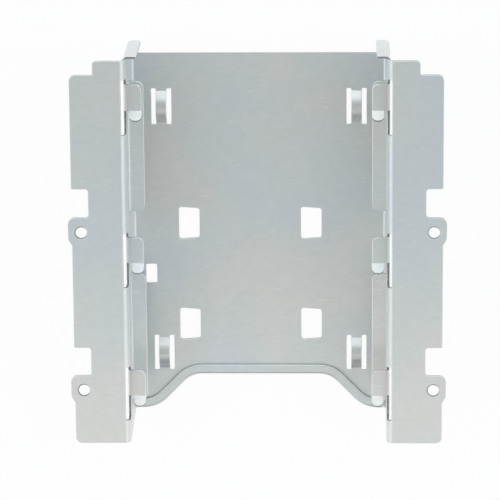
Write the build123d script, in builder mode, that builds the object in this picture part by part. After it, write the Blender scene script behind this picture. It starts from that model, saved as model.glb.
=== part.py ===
from build123d import *
import os
from math import atan2, cos, degrees, radians, sin, tan

# Drive bay adapter bracket: one folded sheet of zinc plated steel, in millimetres.
# It lies on the back of its web: X across the bay, Y along it with the stops at +Y, Z up
# out of the bay. The origin is the middle of the web's back, halfway between the ends.

# The sheet and its folds: wide at the corners of the channel, tight at its tabs, ledges and stops
sheet = 0.8
bend_inside = 1.0
bend_outside = bend_inside + sheet
tab_bend_inside = 0.4
tab_bend_outside = tab_bend_inside + sheet
lap = 0.5

# Overall form: a channel for two small drives, with flanges turned outward at its top
height = 26.0
length = 107.4
drive_width = 69.85
side_play = 0.075
bay_half = drive_width / 2 + side_play
wall_outside = bay_half + sheet
rear = length / 2
front = -length / 2

# Screw holes, the standard bottom pattern of the wider drive that the bracket stands in for
hole_span_across = 95.25
hole_span_along = 44.45
hole_bore = 3.5
hole_middle = -16.38
hole_line = hole_span_across / 2

# Flanges, with a shoulder at the rear and an ear round each screw hole
flange_margin = 2.475
ear_margin = 3.525
flange_rear_inset = 0.6
shoulder_inset = 6.3
shoulder_depth = 3.8
shoulder_round = 1.0
shoulder_inner_round = 0.3
flange_round = 1.7
ear_rear = 4.2
ear_front = 1.9
ear_slope = 1.7
ear_round = 2.0
notch_length = 7.9
notch_depth = 4.55
notch_round = 0.8
notch_lip_round = 0.4
flange_half = hole_line + flange_margin
ear_half = hole_line + ear_margin
shoulder_half = flange_half - shoulder_inset
flange_rear = rear - flange_rear_inset
flange_root = wall_outside + bend_inside
far_out = 2 * ear_half

# Web: its rear edge stops short of the walls, its front edge is an S curve hemmed back over it
web_rear_inset = 3.6
mouth_depth = 12.28
mouth_angle = 46.0
mouth_round = 7.0
mouth_foot_round = 9.5
mouth_foot_flat = 0.6
front_rake = 2.35
hem_width = 2.75
hem_gap = 0.1
hem_side_gap = 1.5
hem_outside = sheet + hem_gap / 2
web_rear = rear - web_rear_inset

# Stops at the rear ends of the walls, from the level of the web's face
stop_reach = 2.85
stop_top_inset = 3.5
stop_corner_round = 1.1
stop_slit = 0.5
stop_slit_length = 1.0

# Upper tabs, three on each side, cut out of the wall's upper fold
tab_top_inset = 4.0
tab_reach = 4.1
tab_length = 7.3
tab_round = 1.6
tab_rear_gap = 1.9
tab_rear_inset = 13.5
tab_front_inset = 13.9
tab_middle = -2.16
tab_places = (rear - tab_rear_inset, tab_middle, front + tab_front_inset)
window_length = 15.15
window_reach = 0.5
window_round = 0.45
tongue_width = 3.3
tongue_length = 3.15
tongue_angle = 50.0
tongue_bend = 0.5
tongue_tip_flat = 0.1
tab_top = height - tab_top_inset

# Middle ledges, two on each side, folded in over an opening in the wall
ledge_top = 11.3
ledge_reach = 4.0
ledge_round = 2.0
ledge_rear_inset = 9.175
ledge_front_inset = 7.675
ledge_gap = 17.65
ledge_gap_middle = -0.75
ledge_ends = (
    (ledge_gap_middle + ledge_gap / 2, rear - ledge_rear_inset),
    (front + ledge_front_inset, ledge_gap_middle - ledge_gap / 2),
)
ledge_opening = 5.6

# Bridges pressed up out of the web between two slits, one near each corner
bridge_wall_gap = 8.2
bridge_rear_inset = 18.555
bridge_front_inset = 18.395
bridge_line = bay_half - bridge_wall_gap
bridge_places = (rear - bridge_rear_inset, front + bridge_front_inset)
bridge_width = 2.9
bridge_length = 8.2
bridge_rise = 2.0
bridge_top = 3.6
bridge_top_flat = 0.16
bridge_foot_round = 1.0
bridge_ramp = (bridge_length - bridge_top) / 2
slit_width = 1.3
slit_length = 10.1

# Four tapered windows in the web, and one small square window beside the left wall
taper_width = 5.65
taper_length = 9.15
taper_short = 8.35
taper_round = 0.7
taper_span_across = 33.75
taper_span_along = 29.0
taper_middle = (-2.6, -12.4)
peep_width = 3.0
peep_length = 5.4
peep_round = 0.35
peep_wall_gap = 4.9
peep_place = (peep_wall_gap - bay_half, -12.35)


def strip(plane, skin, rounds, side):
    """Section of a folded strip, one sheet thick on the given side of its skin line."""
    with BuildSketch(plane) as section:
        with BuildLine():
            FilletPolyline(*skin, radius=rounds)
            offset(amount=sheet, side=side)
        make_face()
    return section.sketch


def mouth_line(inset):
    """Right half of the S curve of the web's front edge, or its parallel further in by an inset."""
    half_turn = tan(radians(mouth_angle) / 2)
    hem_end = bay_half - hem_side_gap
    foot_corner = hem_end - mouth_foot_flat - mouth_foot_round * half_turn
    top_corner = foot_corner - (mouth_depth - front_rake) / tan(radians(mouth_angle))
    shift = inset * half_turn
    top = front + mouth_depth + inset
    foot = front + front_rake + inset
    with BuildLine() as curve:
        FilletPolyline(
            (0, top),
            (top_corner + shift, top),
            (foot_corner + shift, foot),
            (hem_end, foot),
            radius=[mouth_round + inset, mouth_foot_round - inset],
        )
    return curve.wire()


def flange_outline():
    """Corners and corner radii of the right flange, from its root at the rear."""
    corners = [(flange_root, flange_rear), (shoulder_half, flange_rear)]
    rounds = [0, shoulder_round]
    shoulder = flange_rear - shoulder_depth
    corners += [(shoulder_half, shoulder), (flange_half, shoulder)]
    rounds += [shoulder_inner_round, flange_round]
    for row in (0.5, -0.5):
        screw = hole_middle + row * hole_span_along
        notch_floor = flange_half - notch_depth
        notch_end = screw + ear_rear
        notch_start = notch_end + notch_length
        corners += [(flange_half, notch_start), (notch_floor, notch_start)]
        rounds += [notch_lip_round, notch_round]
        corners += [(notch_floor, notch_end), (ear_half, notch_end)]
        rounds += [notch_round, ear_round]
        corners += [(ear_half, screw - ear_front), (flange_half, screw - ear_front - ear_slope)]
        rounds += [ear_round, notch_lip_round]
    corners += [(flange_half, front), (flange_root, front)]
    rounds += [flange_round, 0]
    return corners, rounds


with BuildPart() as bracket:
    # Right half of the channel: web, wall and the fold to the flange
    section = strip(
        Plane.XZ.offset(-flange_rear),
        [(0, 0), (wall_outside, 0), (wall_outside, height - sheet), (flange_root + lap, height - sheet)],
        [bend_outside, bend_inside],
        Side.LEFT,
    )
    extrude(section, amount=flange_rear - front)

    # Flange plate with its shoulder, notches and ears
    corners, rounds = flange_outline()
    with BuildSketch(Plane.XY.offset(height - sheet)) as flange:
        with BuildLine():
            FilletPolyline(*corners, radius=rounds, close=True)
        make_face()
    extrude(amount=sheet)

    # The wall's front edge leans back from the flange to the web
    with BuildSketch(Plane.YZ) as rake:
        with BuildLine():
            Polyline(
                (front, height - bend_outside),
                (front + front_rake, bend_outside),
                (front + front_rake, -sheet),
                (front - lap, -sheet),
                (front - lap, height - bend_outside),
                close=True,
            )
        make_face()
    extrude(amount=far_out, mode=Mode.SUBTRACT)

    # The web's front edge: cut away along the S curve, then folded back over the web as a closed hem
    fold = mouth_line(hem_outside)
    tip = fold @ 1
    with BuildSketch(Plane.XY.offset(-sheet)) as mouth:
        with BuildLine():
            add(fold)
            Polyline(tip, (tip.X, front - lap), (0, front - lap), fold @ 0)
        make_face()
    extrude(amount=sheet + bend_outside, mode=Mode.SUBTRACT)

    level = (fold @ 0).Y
    with BuildSketch(Plane.YZ) as hem:
        with BuildLine():
            under = Line((level + lap, 0), (level, 0))
            turn = JernArc(under @ 1, under % 1, hem_outside, -180)
            PolarLine(turn @ 1, hem_width - hem_outside, direction=turn % 1)
            offset(amount=sheet, side=Side.RIGHT)
        make_face()
    sweep(path=fold)

    # The web's rear edge stops short, and the wall runs on above it
    with BuildSketch(Plane.XY.offset(-sheet)) as rear_cut:
        with Locations((0, web_rear)):
            Rectangle(far_out, length, align=(Align.MIN, Align.MIN))
    extrude(amount=sheet + bend_outside, mode=Mode.SUBTRACT)

    # Rear stop: the wall's end folded in, free of the flange by a slit
    stop_root = rear - tab_bend_outside
    stop_floor = sheet
    stop_top = height - stop_top_inset
    with BuildSketch(Plane.XY) as stop_room:
        with Locations((bay_half - lap, stop_root)):
            Rectangle(far_out, length, align=(Align.MIN, Align.MIN))
    extrude(amount=stop_top, mode=Mode.SUBTRACT)
    with BuildSketch(Plane.XY.offset(stop_top)) as slit:
        with Locations((bay_half - lap, stop_root - stop_slit_length)):
            Rectangle(bend_inside + sheet, length, align=(Align.MIN, Align.MIN))
    extrude(amount=stop_slit, mode=Mode.SUBTRACT)
    stop = strip(
        Plane.XY.offset(stop_floor),
        [(wall_outside, stop_root - lap), (wall_outside, rear), (bay_half - stop_reach, rear)],
        [tab_bend_outside],
        Side.LEFT,
    )
    extrude(stop, amount=stop_top - stop_floor)
    stop_corner = (
        bracket.edges()
        .filter_by(Axis.Y)
        .filter_by_position(Axis.Y, rear - sheet, rear)
        .sort_by(Axis.Z)
        .sort_by(Axis.X)[0:2]
        .sort_by(Axis.Z)[0]
    )
    fillet(stop_corner, radius=stop_corner_round)

    # Windows in the upper fold, each with its tab folded in and a flared tongue at its front
    window_sill = tab_top - tab_bend_outside
    tab_edge = bay_half - tab_reach
    for place in tab_places:
        window_rear = place + window_length / 2
        tab_rear = window_rear - tab_rear_gap
        tab_front = tab_rear - tab_length
        with BuildSketch(Plane.XY.offset(window_sill)) as window:
            with Locations((bay_half - lap, place)):
                Rectangle(lap + sheet + window_reach, window_length, align=(Align.MIN, Align.CENTER))
            fillet(window.vertices().group_by(Axis.X)[-1], radius=window_round)
        extrude(amount=height + sheet - window_sill, mode=Mode.SUBTRACT)
        tab = strip(
            Plane.XZ.offset(-tab_rear),
            [(wall_outside, window_sill - lap), (wall_outside, tab_top), (tab_edge, tab_top)],
            [tab_bend_outside],
            Side.LEFT,
        )
        extrude(tab, amount=tab_length)
        flare = radians(tongue_angle)
        tongue = strip(
            Plane.YZ.offset(tab_edge),
            [
                (tab_front + 2 * lap, tab_top),
                (tab_front, tab_top),
                (tab_front - tongue_length * cos(flare), tab_top + tongue_length * sin(flare)),
            ],
            [tongue_bend],
            Side.LEFT,
        )
        extrude(tongue, amount=tongue_width)
    across_tongue = Axis((0, 0, 0), (0, sin(radians(tongue_angle)), cos(radians(tongue_angle))))
    tongue_round = (tongue_width - tongue_tip_flat) / 2
    fillet(bracket.edges().filter_by(across_tongue), radius=tongue_round)

    # Openings in the wall, each with its ledge folded in below it
    opening_sill = ledge_top - tab_bend_outside
    ledge_edge = bay_half - ledge_reach
    for ledge_front, ledge_rear in ledge_ends:
        ledge_length = ledge_rear - ledge_front
        with BuildSketch(Plane.YZ.offset(bay_half - lap)) as opening:
            with Locations((ledge_front, opening_sill)):
                Rectangle(ledge_length, ledge_opening, align=(Align.MIN, Align.MIN))
        extrude(amount=lap + 2 * sheet, mode=Mode.SUBTRACT)
        ledge = strip(
            Plane.XZ.offset(-ledge_rear),
            [(wall_outside, opening_sill - lap), (wall_outside, ledge_top), (ledge_edge, ledge_top)],
            [tab_bend_outside],
            Side.LEFT,
        )
        extrude(ledge, amount=ledge_length)

    # Free corners of the tabs and ledges
    free_edges = bracket.edges().filter_by(Axis.Z).filter_by(lambda e: abs(e.length - sheet) < 0.01)
    tab_corners = free_edges.filter_by_position(Axis.X, tab_edge - 0.01, tab_edge + 0.01)
    tab_corners = tab_corners.filter_by_position(Axis.Z, tab_top - sheet, tab_top)
    fillet(tab_corners, radius=tab_round)
    ledge_corners = free_edges.filter_by_position(Axis.X, ledge_edge - 0.01, ledge_edge + 0.01)
    ledge_corners = ledge_corners.filter_by_position(Axis.Z, ledge_top - sheet, ledge_top)
    fillet(ledge_corners, radius=ledge_round)

    # Bridges: two slits with the strip between them arched up, its crown as round as its top allows
    crown_reach = (bridge_top - bridge_top_flat) / 2
    crown_round = crown_reach / tan(atan2(bridge_rise, bridge_ramp) / 2)
    for middle in bridge_places:
        low = middle - bridge_length / 2
        high = middle + bridge_length / 2
        with BuildSketch(Plane.XY) as bridge_cut:
            with Locations((bridge_line, middle)):
                Rectangle(bridge_width, bridge_length)
                with GridLocations(bridge_width + slit_width, 1, 2, 1):
                    Rectangle(slit_width, slit_length)
        extrude(amount=sheet, mode=Mode.SUBTRACT)
        arch = strip(
            Plane.YZ.offset(bridge_line - bridge_width / 2),
            [
                (low - 2 * lap, 0),
                (low, 0),
                (low + bridge_ramp, bridge_rise),
                (high - bridge_ramp, bridge_rise),
                (high, 0),
                (high + 2 * lap, 0),
            ],
            [bridge_foot_round, crown_round, crown_round, bridge_foot_round],
            Side.LEFT,
        )
        extrude(arch, amount=bridge_width)

    # The left half is the same, mirrored
    mirror(about=Plane.YZ)

    # Screw holes through the ears
    with BuildSketch(Plane.XY.offset(height - sheet)) as screws:
        with Locations((0, hole_middle)):
            with GridLocations(hole_span_across, hole_span_along, 2, 2):
                Circle(hole_bore / 2)
    extrude(amount=sheet, mode=Mode.SUBTRACT)

    # Tapered windows in the web, all the same way round
    taper_angle = degrees(atan2(taper_width, (taper_length - taper_short) / 2))
    with BuildSketch(Plane.XY) as tapers:
        with Locations(taper_middle):
            with GridLocations(taper_span_across, taper_span_along, 2, 2):
                Trapezoid(taper_length, taper_width, taper_angle, rotation=-90)
        fillet(tapers.vertices(), radius=taper_round)
    extrude(amount=sheet, mode=Mode.SUBTRACT)

    # One small window beside the left wall
    with BuildSketch(Plane.XY) as peep:
        with Locations(peep_place):
            RectangleRounded(peep_width, peep_length, peep_round)
    extrude(amount=sheet, mode=Mode.SUBTRACT)

bracket.part.label = "bracket"

os.makedirs("parts", exist_ok=True)
export_step(bracket.part, "parts/bracket.step")
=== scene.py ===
"""Drive bay adapter bracket: a folded channel of zinc plated sheet steel, dressed around its CAD frame.

Lengths are in metres. X runs across the channel, Y along it towards the end with the stops, Z up out of it.
"""

import logging
import math
from collections.abc import Sequence
from dataclasses import dataclass
from enum import Enum
from typing import Any

import bmesh
import bpy
from mathutils import Matrix, Vector
from mathutils.bvhtree import BVHTree
from mathutils.kdtree import KDTree


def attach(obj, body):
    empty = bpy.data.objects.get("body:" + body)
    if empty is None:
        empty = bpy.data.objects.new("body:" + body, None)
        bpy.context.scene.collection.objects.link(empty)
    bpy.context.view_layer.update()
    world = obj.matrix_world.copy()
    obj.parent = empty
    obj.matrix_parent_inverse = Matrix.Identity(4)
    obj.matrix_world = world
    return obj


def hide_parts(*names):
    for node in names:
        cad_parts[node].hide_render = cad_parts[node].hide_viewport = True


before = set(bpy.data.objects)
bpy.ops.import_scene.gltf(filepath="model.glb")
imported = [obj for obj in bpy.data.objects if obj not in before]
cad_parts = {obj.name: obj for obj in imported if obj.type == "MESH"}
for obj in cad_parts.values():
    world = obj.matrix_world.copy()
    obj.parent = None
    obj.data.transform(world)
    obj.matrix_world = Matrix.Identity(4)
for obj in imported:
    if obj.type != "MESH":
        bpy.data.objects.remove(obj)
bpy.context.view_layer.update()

LOG = logging.getLogger("bracket")
MM = 0.001
SHEET = 0.8 * MM
FLANGE_TOP = 26.0 * MM
WEIGHTS = "bevel_weight_edge"
WHITE = (1.0, 1.0, 1.0, 1.0)


class Role(Enum):
    """What a face of the sheet is, which is also its material index on the sheet."""

    SKIN = 0
    SHEARED = 1


def linear(hex_colour: str) -> tuple[float, float, float, float]:
    """Turn an sRGB hex colour into a linear colour with full alpha.

    Args:
        hex_colour: six hex digits, with or without a leading hash.

    Returns:
        Red, green, blue and alpha as linear values.
    """
    digits = hex_colour.lstrip("#")
    parts = [int(digits[i : i + 2], 16) / 255 for i in (0, 2, 4)]
    red, green, blue = (p / 12.92 if p <= 0.04045 else ((p + 0.055) / 1.055) ** 2.4 for p in parts)
    return red, green, blue, 1.0


def add_node(
    tree: bpy.types.NodeTree,
    kind: str,
    settings: dict[str, Any] | None = None,
    stops: Sequence[tuple[float, str]] = (),
    **inputs: Any,
) -> bpy.types.Node:
    """Add a shader node with its settings, values and links.

    Args:
        tree: node tree that takes the node.
        kind: type name of the node, after "ShaderNode".
        settings: properties of the node, by name.
        stops: places with sRGB hex colours for its colour ramp, lowest first.
        inputs: input sockets by name (spaces as underscores) or as "i" and a number. A socket is
            linked, a node is linked by its first output, and anything else is set as the value.

    Returns:
        The new node.
    """
    node = tree.nodes.new(f"ShaderNode{kind}")
    for name, value in (settings or {}).items():
        setattr(node, name, value)
    if stops:
        elements = node.color_ramp.elements
        while len(elements) < len(stops):
            elements.new(0.5)
        for element, (place, colour) in zip(elements, stops):
            element.position = place
            element.color = linear(colour)
    for name, value in inputs.items():
        key = int(name[1:]) if name[0] == "i" and name[1:].isdigit() else name.replace("_", " ")
        source = value.outputs[0] if isinstance(value, bpy.types.Node) else value
        if isinstance(source, bpy.types.NodeSocket):
            tree.links.new(source, node.inputs[key])
        else:
            node.inputs[key].default_value = source
    return node


def new_material(name: str) -> tuple[bpy.types.Material, bpy.types.NodeTree]:
    """Make an empty node material.

    Args:
        name: what the finish is called.

    Returns:
        The material and its node tree.
    """
    made = bpy.data.materials.new(name)
    made.use_nodes = True
    made.node_tree.nodes.clear()
    return made, made.node_tree


@dataclass(frozen=True)
class ZincPlate:
    """Bright zinc plated cold rolled sheet, clear passivated."""

    # It gives the eye a soft satin metal under a haze. The passivation shifts between blue, green and
    # warm grey over a few centimetres, and rolling has left short streaks that run across the channel.
    name: str = "zinc_plated_steel"
    cool: str = "#E9ECEE"
    green: str = "#EAEDEB"
    warm: str = "#EEEDEB"
    tint_stops: tuple[float, float, float] = (0.38, 0.5, 0.62)
    patch: float = 34 * MM
    roughness: float = 0.33
    roughness_swing: float = 0.03
    haze: float = 0.9
    haze_share: float = 0.5
    # Rolling lines are taken as about 0.05 mm apart. They are drawn ten times coarser, so that they show.
    streak_pitch: float = 0.5 * MM
    streak_length: float = 4 * MM
    streak_share: float = 0.45
    streak_height: float = 0.02 * MM
    streak_strength: float = 0.08
    mottle: float = 2.4 * MM
    mottle_share: float = 0.55
    grain_span: tuple[float, float] = (0.3, 0.7)
    grain_shades: tuple[float, float] = (0.97, 1.02)
    # A few short bright scuffs lie nearly in line with the streaks.
    scuff_width: float = 0.45 * MM
    scuff_length: float = 2.6 * MM
    scuff_turn: float = math.radians(7)
    scuff_span: tuple[float, float] = (0.6, 0.72)
    scuff_lift: float = 0.045
    # The flat parts are a little wavy, which bends their reflections.
    wave: float = 26 * MM
    wave_height: float = 0.25 * MM
    wave_strength: float = 0.5

    def material(self) -> bpy.types.Material:
        """Build the finish.

        Returns:
            The material, with a procedural colour, roughness and bump.
        """
        made, tree = new_material(self.name)
        place = add_node(tree, "TexCoord").outputs["Object"]
        streaks = self.streaks(tree, place)
        grain = self.grain(tree, place, streaks)
        colour = self.colour(tree, place, grain)
        normal = self.relief(tree, place, streaks)
        rough = add_node(
            tree,
            "MapRange",
            Value=grain,
            From_Min=self.grain_span[0],
            From_Max=self.grain_span[1],
            To_Min=self.roughness + self.roughness_swing,
            To_Max=self.roughness - self.roughness_swing,
        )
        satin, hazy = (
            add_node(
                tree, "BsdfPrincipled", Metallic=1.0, Base_Color=colour, Roughness=dullness, Normal=normal
            )
            for dullness in (rough, self.haze)
        )
        plate = add_node(tree, "MixShader", i0=self.haze_share, i1=satin, i2=hazy)
        add_node(tree, "OutputMaterial", Surface=plate)
        return made

    def streaks(self, tree: bpy.types.NodeTree, place: bpy.types.NodeSocket) -> bpy.types.Node:
        """Draw the rolling streaks.

        Args:
            tree: node tree of the finish.
            place: where the pattern is read.

        Returns:
            The noise that draws them.
        """
        drawn_out = add_node(
            tree,
            "Mapping",
            Vector=place,
            Scale=(1 / self.streak_length, 1 / self.streak_pitch, 1 / self.streak_length),
        )
        return add_node(tree, "TexNoise", Vector=drawn_out, Scale=1.0, Detail=3.0, Roughness=0.6)

    def grain(
        self, tree: bpy.types.NodeTree, place: bpy.types.NodeSocket, streaks: bpy.types.Node
    ) -> bpy.types.Node:
        """Mix the streaks into a fine mottle.

        Args:
            tree: node tree of the finish.
            place: where the pattern is read.
            streaks: the rolling streaks.

        Returns:
            The grain, about 0.3 to 0.7.
        """
        mottle = add_node(tree, "TexNoise", Vector=place, Scale=1 / self.mottle, Detail=4.0, Roughness=0.6)
        faint = add_node(tree, "Math", {"operation": "MULTIPLY"}, i0=streaks, i1=self.streak_share)
        way = {"operation": "MULTIPLY_ADD"}
        return add_node(tree, "Math", way, i0=mottle, i1=self.mottle_share, i2=faint)

    def colour(
        self, tree: bpy.types.NodeTree, place: bpy.types.NodeSocket, grain: bpy.types.Node
    ) -> bpy.types.Node:
        """Draw the tint's patches, shaded by the grain and the scuffs.

        Args:
            tree: node tree of the finish.
            place: where the pattern is read.
            grain: the plating's grain.

        Returns:
            The colour.
        """
        patches = add_node(tree, "TexNoise", Vector=place, Scale=1 / self.patch, Detail=2.0, Roughness=0.5)
        tints = list(zip(self.tint_stops, (self.cool, self.green, self.warm)))
        tint = add_node(tree, "ValToRGB", stops=tints, i0=patches)
        drawn_out = add_node(
            tree,
            "Mapping",
            Vector=place,
            Rotation=(0.0, 0.0, self.scuff_turn),
            Scale=(1 / self.scuff_length, 1 / self.scuff_width, 1 / self.scuff_length),
        )
        scuffs = add_node(tree, "TexNoise", Vector=drawn_out, Scale=1.0, Detail=2.0, Roughness=0.5)
        scuffed = add_node(
            tree,
            "MapRange",
            Value=scuffs,
            From_Min=self.scuff_span[0],
            From_Max=self.scuff_span[1],
            To_Min=0.0,
            To_Max=self.scuff_lift,
        )
        shaded = add_node(
            tree,
            "MapRange",
            Value=grain,
            From_Min=self.grain_span[0],
            From_Max=self.grain_span[1],
            To_Min=self.grain_shades[0],
            To_Max=self.grain_shades[1],
        )
        shade = add_node(tree, "Math", {"operation": "ADD"}, i0=shaded, i1=scuffed)
        return add_node(tree, "VectorMath", {"operation": "SCALE"}, i0=tint, Scale=shade)

    def relief(
        self, tree: bpy.types.NodeTree, place: bpy.types.NodeSocket, streaks: bpy.types.Node
    ) -> bpy.types.Node:
        """Raise the streaks a little on a slightly wavy sheet.

        Args:
            tree: node tree of the finish.
            place: where the pattern is read.
            streaks: the rolling streaks.

        Returns:
            The bump that gives the normal.
        """
        waves = add_node(tree, "TexNoise", Vector=place, Scale=1 / self.wave, Detail=1.0, Roughness=0.5)
        wavy = add_node(tree, "Bump", Strength=self.wave_strength, Distance=self.wave_height, Height=waves)
        return add_node(
            tree,
            "Bump",
            Strength=self.streak_strength,
            Distance=self.streak_height,
            Height=streaks,
            Normal=wavy,
        )


@dataclass(frozen=True)
class ShearedEdge:
    """Steel broken through by a punch."""

    # It gives the eye a dull grey line beside the bright plating.
    name: str = "sheared_steel_edge"
    dark: str = "#858989"
    light: str = "#B4B9B9"
    colour_stops: tuple[float, float] = (0.35, 0.65)
    roughness: float = 0.5
    # The break's grain is taken as about 0.1 mm. It is drawn five times coarser, so that it shows.
    grain: float = 0.5 * MM
    grain_height: float = 0.03 * MM
    grain_strength: float = 0.4

    def material(self) -> bpy.types.Material:
        """Build the finish.

        Returns:
            The material of the sheet's cut edges.
        """
        made, tree = new_material(self.name)
        place = add_node(tree, "TexCoord").outputs["Object"]
        grain = add_node(tree, "TexNoise", Vector=place, Scale=1 / self.grain, Detail=3.0, Roughness=0.6)
        greys = list(zip(self.colour_stops, (self.dark, self.light)))
        colour = add_node(tree, "ValToRGB", stops=greys, i0=grain)
        normal = add_node(
            tree, "Bump", Strength=self.grain_strength, Distance=self.grain_height, Height=grain
        )
        steel = add_node(
            tree, "BsdfPrincipled", Metallic=1.0, Base_Color=colour, Roughness=self.roughness, Normal=normal
        )
        add_node(tree, "OutputMaterial", Surface=steel)
        return made


def deselect_all() -> None:
    """Leave nothing selected."""
    bpy.ops.object.select_all(action="DESELECT")


def make_active(piece: bpy.types.Object) -> None:
    """Select one piece alone and make it active.

    Args:
        piece: the piece.
    """
    deselect_all()
    piece.select_set(True)
    bpy.context.view_layer.objects.active = piece


def apply_modifiers(piece: bpy.types.Object) -> None:
    """Apply all modifiers of a piece, in their order.

    Args:
        piece: the piece.
    """
    make_active(piece)
    for modifier in list(piece.modifiers):
        bpy.ops.object.modifier_apply(modifier=modifier.name)


@dataclass
class FoldedSheet:
    """The sheet itself: the CAD form with its cut edges told from its skin and its corners eased."""

    node: str = "bracket"
    name: str = "folded_sheet"
    # The CAD mesh is merged, and neighbours that turn by less than the flat angle are joined.
    merge_distance: float = 0.0002 * MM
    flat_angle: float = math.radians(0.4)
    # A face of the skin has the opposite skin behind it, within about a sheet and a third.
    skin_reach: float = 1.35 * SHEET
    skin_depth: float = 0.001 * MM
    skin_facing: float = -0.8
    # The punch rounds the sheet's corner by a fifth of its thickness, and by a third on top of the
    # tabs, the ledges and the hem, which shows as their bright rim.
    roll_over: float = 0.27 * MM
    roll_over_steps: int = 3
    plain_share: float = 0.6
    shelf_tops: tuple[float, float] = (22.0 * MM, 11.3 * MM)
    shelf_reach: float = 34.0 * MM
    shelf_play: float = 0.3 * SHEET
    hem_top: float = 1.7 * MM
    hem_start: float = -38.0 * MM
    hem_play: float = 0.1 * SHEET
    # The hem's ends beside the walls are tight and have little room to be rounded.
    hem_end_share: float = 0.09
    hem_end_start: float = -48.0 * MM
    hem_end_reach: float = 33.0 * MM
    hem_end_top: float = 2.5 * SHEET
    fold_angle: float = math.radians(40)
    least_room: float = 0.6 * MM
    least_edge: float = 0.002 * MM
    # Where a rounded corner would fold over itself, short corners nearby are left sharp.
    folded_over: float = math.radians(150)
    relief_reach: float = 0.35 * MM
    relief_length: float = 1.2 * MM
    relief_rounds: int = 6

    def build(self, skin: bpy.types.Material, sheared: bpy.types.Material) -> bpy.types.Object:
        """Make the dressed sheet from a copy of the CAD node.

        Args:
            skin: finish of the plated faces.
            sheared: finish of the cut edges.

        Returns:
            The finished piece.
        """
        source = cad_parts[self.node]
        piece = bpy.data.objects.new(self.name, source.data.copy())
        bpy.context.scene.collection.objects.link(piece)
        piece.data.materials.clear()
        piece.data.materials.append(skin)
        piece.data.materials.append(sheared)
        make_active(piece)
        if piece.data.has_custom_normals:
            bpy.ops.mesh.customdata_custom_splitnormals_clear()
        bpy.ops.object.mode_set(mode="EDIT")
        bpy.ops.mesh.select_all(action="SELECT")
        bpy.ops.mesh.remove_doubles(threshold=self.merge_distance)
        bpy.ops.object.mode_set(mode="OBJECT")
        self.tell_edges(piece)
        bpy.ops.object.mode_set(mode="EDIT")
        bpy.ops.mesh.select_all(action="SELECT")
        bpy.ops.mesh.dissolve_limited(angle_limit=self.flat_angle, delimit={"MATERIAL"})
        bpy.ops.object.mode_set(mode="OBJECT")
        self.ease_corners(piece)
        return piece

    def tell_edges(self, piece: bpy.types.Object) -> None:
        """Give the cut edges their own material: they are the faces with more than a sheet behind them.

        Args:
            piece: the merged sheet, with both materials.
        """
        mesh = piece.data
        tree = BVHTree.FromPolygons(
            [v.co.copy() for v in mesh.vertices], [tuple(p.vertices) for p in mesh.polygons]
        )
        for face in mesh.polygons:
            inward = -face.normal
            start = face.center + inward * self.skin_depth
            _, hit_normal, _, distance = tree.ray_cast(start, inward, self.skin_reach)
            backed = distance is not None and hit_normal.dot(face.normal) < self.skin_facing
            face.material_index = Role.SKIN.value if backed else Role.SHEARED.value

    def weigh_corners(self, piece: bpy.types.Object) -> None:
        """Give each outward corner with room beside it the weight that its rounding follows.

        Args:
            piece: the sheet with its flat faces joined.
        """
        mesh = piece.data
        sides: dict[tuple[int, int], list[bpy.types.MeshPolygon]] = {}
        for face in mesh.polygons:
            for key in face.edge_keys:
                sides.setdefault(key, []).append(face)
        weights = mesh.attributes.new(WEIGHTS, "FLOAT", "EDGE")
        for edge in mesh.edges:
            faces = sorted(sides[edge.key], key=lambda f: f.area)
            if len(faces) != 2 or faces[0].normal.angle(faces[1].normal, 0.0) < self.fold_angle:
                continue
            corner, end = (mesh.vertices[i].co for i in edge.vertices)
            room = faces[0].area / (end - corner).length
            if room > self.least_room and (faces[0].center - corner).dot(faces[1].normal) < 0:
                weights.data[edge.index].value = self.share_of_roll_over(corner)

    def share_of_roll_over(self, place: Vector) -> float:
        """Work out how round a corner is.

        Args:
            place: a point of the corner.

        Returns:
            The corner's share of the largest rounding.
        """
        beside_wall = abs(place.x) > self.hem_end_reach and place.z < self.hem_end_top
        if beside_wall and place.y < self.hem_end_start:
            return self.hem_end_share
        if place.y < self.hem_start and abs(place.z - self.hem_top) < self.hem_play:
            return 1.0
        on_shelf = any(abs(place.z - top) < self.shelf_play for top in self.shelf_tops)
        return 1.0 if on_shelf and abs(place.x) < self.shelf_reach else self.plain_share

    def folded_spots(self, piece: bpy.types.Object) -> list[Vector]:
        """Find where the rounded sheet folds over itself.

        Args:
            piece: the sheet with its weights and its live bevel.

        Returns:
            The ends of the folded edges.
        """
        rounded = bmesh.new()
        rounded.from_object(piece, bpy.context.evaluated_depsgraph_get())
        folded = [e for e in rounded.edges if e.is_manifold and e.calc_face_angle(0.0) > self.folded_over]
        spots = [vertex.co.copy() for edge in folded for vertex in edge.verts]
        rounded.free()
        return spots

    def relieve_corners(self, piece: bpy.types.Object) -> int:
        """Leave short corners sharp where their rounding folds over itself.

        Args:
            piece: the sheet with its weights and its live bevel.

        Returns:
            How many corners were left sharp.
        """
        spots = self.folded_spots(piece)
        if not spots:
            return 0
        tree = KDTree(len(spots))
        for index, spot in enumerate(spots):
            tree.insert(spot, index)
        tree.balance()
        mesh = piece.data
        weights = mesh.attributes[WEIGHTS].data
        relieved = 0
        for edge in mesh.edges:
            ends = [mesh.vertices[i].co for i in edge.vertices]
            if weights[edge.index].value <= 0 or (ends[1] - ends[0]).length >= self.relief_length:
                continue
            if min(tree.find(end)[2] for end in ends) < self.relief_reach:
                weights[edge.index].value = 0.0
                relieved += 1
        return relieved

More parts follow.
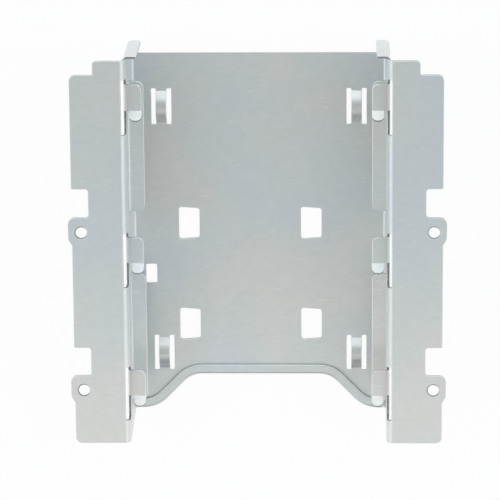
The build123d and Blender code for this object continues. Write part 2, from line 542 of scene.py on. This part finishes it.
    def ease_corners(self, piece: bpy.types.Object) -> None:
        """Round the corners between skin and cut edge and shade the folds smooth.

        Args:
            piece: the sheet with its flat faces joined.
        """
        self.weigh_corners(piece)
        bevel = piece.modifiers.new("roll_over", "BEVEL")
        bevel.width = self.roll_over
        bevel.segments = self.roll_over_steps
        bevel.limit_method = "WEIGHT"
        bevel.material = Role.SKIN.value
        bevel.use_clamp_overlap = False
        bevel.loop_slide = False
        for _ in range(self.relief_rounds):
            if not self.relieve_corners(piece):
                break
        apply_modifiers(piece)
        bpy.ops.object.mode_set(mode="EDIT")
        bpy.ops.mesh.select_all(action="SELECT")
        bpy.ops.mesh.dissolve_degenerate(threshold=self.least_edge)
        bpy.ops.object.mode_set(mode="OBJECT")
        bpy.ops.object.shade_smooth_by_angle(angle=self.fold_angle)
        weighted = piece.modifiers.new("weighted", "WEIGHTED_NORMAL")
        weighted.keep_sharp = True
        weighted.weight = 100
        triangles = piece.modifiers.new("triangles", "TRIANGULATE")
        triangles.min_vertices = 5
        triangles.keep_custom_normals = True
        apply_modifiers(piece)


@dataclass
class ScrewThreads:
    """The fine thread cut in each screw hole."""

    span_across: float = 95.25 * MM
    span_along: float = 44.45 * MM
    middle: float = -16.38 * MM
    top: float = FLANGE_TOP
    thickness: float = SHEET
    bore: float = 1.75 * MM
    crest: float = 1.44 * MM
    pitch: float = 0.79 * MM
    # The ridge is nearly a pitch wide at its root, which starts inside the sheet, and narrow at its crest.
    half_root: float = 0.46
    half_crest: float = 0.06
    root_depth: float = 0.2 * MM
    turns: int = 3
    steps: int = 40
    # The thread runs out a little short of both faces of the sheet.
    run_out: float = 0.2 * MM
    bite: float = 0.01 * MM
    smooth_angle: float = math.radians(35)

    def build(self, finish: bpy.types.Material) -> list[bpy.types.Object]:
        """Cut one thread and set a copy of it in every hole.

        Args:
            finish: material of the threads.

        Returns:
            The four threads.
        """
        first = self.one_thread()
        first.data.materials.append(finish)
        made = []
        for row, along in enumerate((0.5, -0.5)):
            for side, across in enumerate((-0.5, 0.5)):
                thread = bpy.data.objects.new(f"screw_thread_{row + 1}{'lr'[side]}", first.data.copy())
                bpy.context.scene.collection.objects.link(thread)
                move = Vector((across * self.span_across, self.middle + along * self.span_along, 0))
                thread.data.transform(Matrix.Translation(move))
                made.append(thread)
        bpy.data.objects.remove(first)
        return made

    def one_thread(self) -> bpy.types.Object:
        """Spin a ridge up a helix round the origin and trim it to the sheet.

        Returns:
            The thread, at the height of the flange and centred on the origin.
        """
        deselect_all()
        low = self.top - self.thickness
        bpy.ops.mesh.primitive_plane_add(size=1.0)
        piece = bpy.context.object
        inner, outer = self.crest, self.bore + self.root_depth
        root, flat = self.half_root * self.pitch, self.half_crest * self.pitch
        profile = [(outer, -root), (inner, -flat), (inner, flat), (outer, root)]
        for vertex, (radius, rise) in zip(piece.data.vertices, self.in_order(piece, profile)):
            vertex.co = (radius, 0, low - self.pitch + rise)
        bpy.ops.object.mode_set(mode="EDIT")
        bpy.ops.mesh.select_all(action="SELECT")
        bpy.ops.mesh.delete(type="ONLY_FACE")
        bpy.ops.object.mode_set(mode="OBJECT")
        screw = piece.modifiers.new("helix", "SCREW")
        screw.axis = "Z"
        screw.angle = 2 * math.pi
        screw.screw_offset = self.pitch
        screw.iterations = self.turns
        screw.steps = self.steps
        screw.render_steps = self.steps
        screw.use_merge_vertices = False
        apply_modifiers(piece)
        bpy.ops.object.mode_set(mode="EDIT")
        bpy.ops.mesh.select_all(action="SELECT")
        bpy.ops.mesh.fill_holes(sides=4)
        bpy.ops.mesh.select_all(action="SELECT")
        bpy.ops.mesh.normals_make_consistent(inside=False)
        bpy.ops.object.mode_set(mode="OBJECT")
        self.trim(piece)
        make_active(piece)
        bpy.ops.object.shade_smooth_by_angle(angle=self.smooth_angle)
        return piece

    def trim(self, piece: bpy.types.Object) -> None:
        """Keep what lies in the hole, a little short of both faces of the sheet and just into its bore.

        Args:
            piece: the ridge, longer than the hole is deep.
        """
        bpy.ops.mesh.primitive_cylinder_add(
            vertices=2 * self.steps,
            radius=self.bore + self.bite,
            depth=self.thickness - 2 * self.run_out,
            location=(0, 0, self.top - self.thickness / 2),
        )
        plug = bpy.context.object
        common = piece.modifiers.new("trim", "BOOLEAN")
        common.operation = "INTERSECT"
        common.solver = "EXACT"
        common.object = plug
        apply_modifiers(piece)
        bpy.data.objects.remove(plug)

    def in_order(
        self, piece: bpy.types.Object, profile: list[tuple[float, float]]
    ) -> list[tuple[float, float]]:
        """Put the profile's corners in the order of the plane's vertices, so that its face isn't crossed.

        Args:
            piece: plane with one face.
            profile: corners in turn round the ridge.

        Returns:
            The corners, one for each vertex of the plane.
        """
        placed = [(0.0, 0.0)] * len(profile)
        for corner, index in zip(profile, piece.data.polygons[0].vertices):
            placed[index] = corner
        return placed


@dataclass
class Studio:
    """White table in a pale room, seen from nearly straight above."""

    floor_size: float = 6.0
    floor_colour: str = "#F7F8F8"
    # The floor lies just under the web, because two surfaces in one plane would show through each other.
    floor_drop: float = 0.05 * MM
    floor_white_share: float = 0.93
    # Matched to the photograph by the screw holes and the outer edges.
    eye: tuple[float, float, float] = (0.02509, 0.24426, 0.93354)
    back: tuple[float, float, float] = (0.028794, 0.258711, 0.965525)
    right: tuple[float, float, float] = (0.999585, -0.007452, -0.027813)
    lens: float = 250.7
    sensor: float = 36.0
    nearest: float = 0.05
    farthest: float = 20.0
    # The walls are bright behind and beside the bracket and dark in front, where the soft box hangs. At
    # their foot the sides are dimmer and the front isn't quite dark, and the ceiling is dim. Heights in
    # the room run from -1, straight down, to 1, straight up.
    room_colour: str = "#F5FBFE"
    wall_light: float = 1.46
    front_wall_light: float = 0.0
    side_foot_light: float = 0.88
    front_foot_light: float = 0.33
    ceiling_light: float = 0.39
    foot_heights: tuple[float, float] = (0.2, 0.5)
    ceiling_heights: tuple[float, float] = (0.75, 0.95)
    # It keeps straight up and straight down from being divided by nothing.
    least_along: float = 1e-5
    box_colour: str = "#FFFBF6"
    box_place: tuple[float, float, float] = (0.0, -0.22, 0.33)
    box_size: tuple[float, float] = (0.5, 0.2)
    box_watts: float = 0.178

    def build(self) -> None:
        """Set up the floor, the room, the soft box, the camera and the colour settings."""
        self.lay_floor()
        self.light_room()
        self.hang_soft_box()
        self.place_camera()
        bpy.context.scene.view_settings.view_transform = "Standard"

    def lay_floor(self) -> None:
        """Lay a white floor under the bracket, mostly plain white when seen, and clear from below."""
        deselect_all()
        bpy.ops.mesh.primitive_plane_add(size=self.floor_size, location=(0, 0, -self.floor_drop))
        floor = bpy.context.object
        floor.name = "floor"
        made, tree = new_material("white_floor")
        paper = add_node(tree, "BsdfDiffuse", Color=linear(self.floor_colour))
        white = add_node(tree, "Emission", Color=WHITE, Strength=1.0)
        rays = add_node(tree, "LightPath").outputs
        seen = add_node(
            tree, "Math", {"operation": "MAXIMUM"}, i0=rays["Is Camera Ray"], i1=rays["Is Glossy Ray"]
        )
        seen = add_node(tree, "Math", {"operation": "MAXIMUM"}, i0=seen, i1=rays["Is Transmission Ray"])
        share = add_node(tree, "Math", {"operation": "MULTIPLY"}, i0=seen, i1=self.floor_white_share)
        table = add_node(tree, "MixShader", i0=share, i1=paper, i2=white)
        backfacing = add_node(tree, "NewGeometry").outputs["Backfacing"]
        below = add_node(tree, "Math", {"operation": "MULTIPLY"}, i0=rays["Is Camera Ray"], i1=backfacing)
        clear = add_node(tree, "BsdfTransparent")
        add_node(tree, "OutputMaterial", Surface=add_node(tree, "MixShader", i0=below, i1=table, i2=clear))
        floor.data.materials.append(made)

    def light_room(self) -> None:
        """Light the bracket by a pale room, which itself is seen as plain white."""
        world = bpy.data.worlds.new("pale_room")
        bpy.context.scene.world = world
        world.use_nodes = True
        tree = world.node_tree
        tree.nodes.clear()
        room = add_node(tree, "Background", Color=linear(self.room_colour), Strength=self.room_level(tree))
        white = add_node(tree, "Background", Color=WHITE, Strength=1.0)
        seen = add_node(tree, "LightPath").outputs["Is Camera Ray"]
        add_node(tree, "OutputWorld", Surface=add_node(tree, "MixShader", i0=seen, i1=room, i2=white))

    def room_level(self, tree: bpy.types.NodeTree) -> bpy.types.Node:
        """Work out how bright the room is in each direction.

        Args:
            tree: node tree of the world.

        Returns:
            The brightness.
        """
        direction = add_node(tree, "TexCoord").outputs["Generated"]
        x, y, z = add_node(tree, "SeparateXYZ", Vector=direction).outputs
        across = add_node(tree, "Math", {"operation": "MULTIPLY"}, i0=x, i1=x)
        along = add_node(tree, "Math", {"operation": "MULTIPLY"}, i0=y, i1=y)
        along = add_node(tree, "Math", {"operation": "MAXIMUM"}, i0=along, i1=self.least_along)
        around = add_node(tree, "Math", {"operation": "MULTIPLY_ADD"}, i0=x, i1=x, i2=along)
        side = add_node(tree, "Math", {"operation": "DIVIDE"}, i0=across, i1=around)
        forward = add_node(tree, "Math", {"operation": "MINIMUM"}, i0=y, i1=0.0)
        forward = add_node(tree, "Math", {"operation": "MULTIPLY"}, i0=forward, i1=forward)
        front = add_node(tree, "Math", {"operation": "DIVIDE"}, i0=forward, i1=around)
        walls = add_node(tree, "Mix", Factor=front, A=self.wall_light, B=self.front_wall_light)
        foot = add_node(tree, "Mix", Factor=front, A=self.wall_light, B=self.front_foot_light)
        foot = add_node(tree, "Mix", Factor=side, A=foot, B=self.side_foot_light)
        above_foot, overhead = (
            add_node(
                tree, "MapRange", {"interpolation_type": "SMOOTHSTEP"}, Value=z, From_Min=low, From_Max=high
            )
            for low, high in (self.foot_heights, self.ceiling_heights)
        )
        level = add_node(tree, "Mix", Factor=above_foot, A=foot, B=walls)
        return add_node(tree, "Mix", Factor=overhead, A=level, B=self.ceiling_light)

    def hang_soft_box(self) -> None:
        """Hang a soft box over the front, facing the bracket."""
        lamp = bpy.data.lights.new("front_box", "AREA")
        lamp.shape = "RECTANGLE"
        lamp.size, lamp.size_y = self.box_size
        lamp.energy = self.box_watts
        lamp.color = linear(self.box_colour)[:3]
        box = bpy.data.objects.new("front_box", lamp)
        bpy.context.scene.collection.objects.link(box)
        place = Vector(self.box_place)
        box.location = place
        box.rotation_euler = (-place).to_track_quat("-Z", "Y").to_euler()

    def place_camera(self) -> None:
        """Put the camera where the photograph was taken from."""
        lens = bpy.data.cameras.new("camera")
        lens.lens = self.lens
        lens.sensor_width = self.sensor
        lens.sensor_fit = "HORIZONTAL"
        lens.clip_start, lens.clip_end = self.nearest, self.farthest
        camera = bpy.data.objects.new("camera", lens)
        bpy.context.scene.collection.objects.link(camera)
        back = Vector(self.back).normalized()
        up = back.cross(Vector(self.right)).normalized()
        right = up.cross(back)
        turn = Matrix((right, up, back)).transposed()
        camera.matrix_world = Matrix.Translation(Vector(self.eye)) @ turn.to_4x4()
        bpy.context.scene.camera = camera


def main() -> None:
    """Build and dress every piece, then set up the studio."""
    logging.basicConfig(level=logging.INFO, format="%(name)s: %(message)s")
    zinc = ZincPlate().material()
    sheared = ShearedEdge().material()
    sheet = FoldedSheet()
    folded = sheet.build(zinc, sheared)
    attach(folded, "root")
    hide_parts(sheet.node)
    LOG.info("%s: %d faces", folded.name, len(folded.data.polygons))
    for thread in ScrewThreads().build(sheared):
        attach(thread, "root")
        LOG.info("%s: %d faces", thread.name, len(thread.data.polygons))
    Studio().build()
    LOG.info("studio and sizes are in place")


if __name__ == "__main__":
    main()
